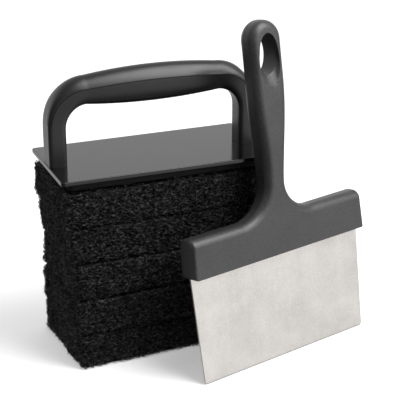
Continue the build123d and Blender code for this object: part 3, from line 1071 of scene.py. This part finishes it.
@dataclass
class PadHolder:
    """The hooked plate with its looped handle."""

    body: str = "holder"
    hook_pitch: float = 2.4 * MM
    hook_margin: float = 2.0 * MM

    def build(self, finishes: dict[str, bpy.types.Material]) -> None:
        """Dress the plate, the layers under it and the handle.

        Args:
            finishes: The materials by slot name.
        """
        for node, slot in (("plate", "plate_plastic"), ("backing_mat", "mat_rubber"),
                           ("hook_sheet", "hook_nylon"), ("threaded_inserts", "insert_brass"),
                           ("plate_screws", "screw_steel")):
            dress_node(node, finishes[slot])
        LoopHandle().build(self.body, finishes["handle_plastic"])
        self.plant_hooks(finishes["hook_nylon"])

    def plant_hooks(self, material: bpy.types.Material) -> None:
        """Add the field of small hooks under the hook sheet.

        Args:
            material: The hooks' material.
        """
        low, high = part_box("hook_sheet")
        columns = int((high.x - low.x - 2 * self.hook_margin) / self.hook_pitch)
        rows = int((high.y - low.y - 2 * self.hook_margin) / self.hook_pitch)
        spots = [((i - columns / 2 + 0.25 * (j % 2)) * self.hook_pitch,
                  (j - rows / 2) * self.hook_pitch, low.z)
                 for i in range(columns + 1) for j in range(rows + 1)]
        hooks = mesh_object("hook_field", spots, [])
        hook_tree().apply(hooks, {"Finish": material})
        settle(hooks, self.body)


@dataclass
class Scraper:
    """The wide scraper: a steel blade with a moulded handle."""

    body: str = "scraper"

    def build(self, finishes: dict[str, bpy.types.Material]) -> None:
        """Dress the blade and the handle.

        Args:
            finishes: The materials by slot name.
        """
        for node, name, slot in (("scraper_blade", "scraper_blade_sheet", "blade_steel"),
                                 ("scraper_handle", "scraper_handle_shell", "scraper_plastic")):
            piece = smooth_copy(node, name, 32.0)
            coat(piece, finishes[slot])
            settle(piece, self.body, (node,))


@dataclass
class Studio:
    """Camera, soft lights and the pale floor."""

    lens: float = 126.0
    sensor: float = 36.0
    target: tuple[float, float, float] = (36.05 * MM, 0.0, 96.4 * MM)
    azimuth: float = -21.575
    elevation: float = 21.688
    distance: float = 1002.1 * MM
    floor_half: float = 4.0
    floor_glow: float = 0.34
    sky: float = 0.20
    back_glow: float = 0.84
    top_glow: float = 0.2
    right_glow: float = 0.15
    card_direction: tuple[float, float, float] = (0.67, -0.74, -0.01)
    card_glow: float = 1.2
    card_rim: float = 0.68
    card_core: float = 0.95
    top_box_power: float = 11.5
    side_box_power: float = 4.6

    def build(self) -> None:
        """Set up everything that isn't part of the object."""
        self.place_camera()
        self.lay_floor()
        self.light_world()
        self.hang_lights()
        bpy.context.scene.view_settings.view_transform = "Standard"

    def place_camera(self) -> None:
        """Put the camera at its viewing angle."""
        data = bpy.data.cameras.new("studio_camera")
        data.lens, data.sensor_width = self.lens, self.sensor
        camera = bpy.data.objects.new("studio_camera", data)
        bpy.context.scene.collection.objects.link(camera)
        azimuth, elevation = math.radians(self.azimuth), math.radians(self.elevation)
        back = Vector((math.sin(azimuth) * math.cos(elevation), -math.cos(azimuth) * math.cos(elevation),
                       math.sin(elevation)))
        camera.location = Vector(self.target) + back * self.distance
        camera.rotation_mode = "QUATERNION"
        camera.rotation_quaternion = (-back).to_track_quat("-Z", "Y")
        bpy.context.scene.camera = camera

    def lay_floor(self) -> None:
        """Lay the pale floor, which takes shadows but isn't mirrored in the set and throws no light back."""
        reach = self.floor_half
        floor = mesh_object("studio_floor", [(-reach, -reach, 0), (reach, -reach, 0), (reach, reach, 0),
                                             (-reach, reach, 0)], [(0, 1, 2, 3)])
        coat(floor, StudioPaper("studio_paper", (0.86, 0.86, 0.86), self.floor_glow).make())
        floor.visible_glossy = False
        floor.visible_diffuse = False

    def light_world(self) -> None:
        """Fill the room with soft white light, stronger behind, above, to the right and at the front card."""
        world = bpy.data.worlds.new("soft_room")
        bpy.context.scene.world = world
        world.use_nodes = True
        bench = Bench(world.node_tree)
        direction = bench.node("ShaderNodeTexCoord").outputs["Generated"]
        parts = bench.node("ShaderNodeSeparateXYZ", None, {0: direction})
        behind, above, right = [bench.signal("ShaderNodeMapRange", None, {"Value": parts.outputs[axis]})
                                for axis in ("Y", "Z", "X")]
        toward = bench.signal("ShaderNodeVectorMath", {"operation": "DOT_PRODUCT"},
                              {0: direction, 1: self.card_direction}, "Value")
        card = bench.signal("ShaderNodeMapRange", {"interpolation_type": "SMOOTHSTEP"},
                            {"Value": toward, "From Min": self.card_rim, "From Max": self.card_core})
        background = world.node_tree.nodes["Background"]
        glow = (behind * self.back_glow + above * self.top_glow + right * self.right_glow
                + card * self.card_glow + self.sky)
        world.node_tree.links.new(glow.socket, background.inputs["Strength"])
        background.inputs["Color"].default_value = (1.0, 1.0, 1.0, 1.0)

    def hang_lights(self) -> None:
        """Hang the large soft boxes."""
        self.soft_box("top_box", (0.44, -0.40, 0.95), 0.68, self.top_box_power)
        self.soft_box("side_box", (0.85, -0.75, 0.75), 0.7, self.side_box_power)

    def soft_box(self, name: str, place: tuple[float, float, float], size: float, power: float) -> None:
        """Hang one square area light that looks at the set.

        Args:
            name: The light's name.
            place: Where it hangs, in metres.
            size: The length of its side.
            power: Its power in watts.
        """
        data = bpy.data.lights.new(name, "AREA")
        data.shape, data.size, data.energy = "SQUARE", size, power
        lamp = bpy.data.objects.new(name, data)
        bpy.context.scene.collection.objects.link(lamp)
        lamp.location = place
        aim = Vector(self.target) - Vector(place)
        lamp.rotation_mode = "QUATERNION"
        lamp.rotation_quaternion = aim.to_track_quat("-Z", "Y")


BLADE_TURN = (math.radians(10.0), 0.0, math.radians(-16.8))


def make_finishes() -> dict[str, bpy.types.Material]:
    """Make every material of the set.

    Returns:
        The materials by the record's slot name.
    """
    finishes = {
        # The pad fibre's second colour is the painted highlight of the paler fibre specks.
        "pad_fibre": ScouringFibre("black_scouring_fibre", (0.0006, 0.0006, 0.0006), (0.135, 0.135, 0.138),
                                   0.44, 0.11),
        "hook_nylon": SoftRubber("hook_strip", (0.008, 0.008, 0.008), 0.6, 0.9 * MM),
        "mat_rubber": SoftRubber("foamed_mat", (0.010, 0.010, 0.0105), 0.8),
        "plate_plastic": PolishedPlastic("polished_black", (0.003, 0.003, 0.0031), 0.10),
        "handle_plastic": MouldedPlastic("satin_black", (0.0065, 0.0065, 0.0068), 0.36, 0.5,
                                         0.9 * MM, 0.04 * MM, 0.20),
        "insert_brass": TurnedMetal("turned_brass", (0.70, 0.52, 0.24), 0.35),
        "screw_steel": TurnedMetal("plated_steel", (0.62, 0.62, 0.63), 0.3),
        "blade_steel": RolledSteel("rolled_stainless", (0.512, 0.490, 0.467), 0.38, BLADE_TURN),
        "scraper_plastic": MouldedPlastic("dark_grey_grain", (0.029, 0.029, 0.030), 0.40, 0.5,
                                          1.0 * MM, 0.07 * MM, 0.22),
    }
    return {slot: finish.make() for slot, finish in finishes.items()}


def main() -> None:
    """Build the set piece by piece."""
    logging.basicConfig(level=logging.INFO, format="%(name)s: %(message)s")
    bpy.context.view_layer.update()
    Studio().build()
    finishes = make_finishes()
    fibres = fibre_tree()
    turns = {StackPlace.TOP: 0.8, StackPlace.SECOND: 0.6, StackPlace.THIRD: 1.3, StackPlace.FOURTH: 2.4,
             StackPlace.LOWEST: 3.3}
    for place, turn in turns.items():
        ScouringPad(place, turn).build(fibres, finishes["pad_fibre"])
    PadHolder().build(finishes)
    Scraper().build(finishes)


if __name__ == "__main__":
    main()
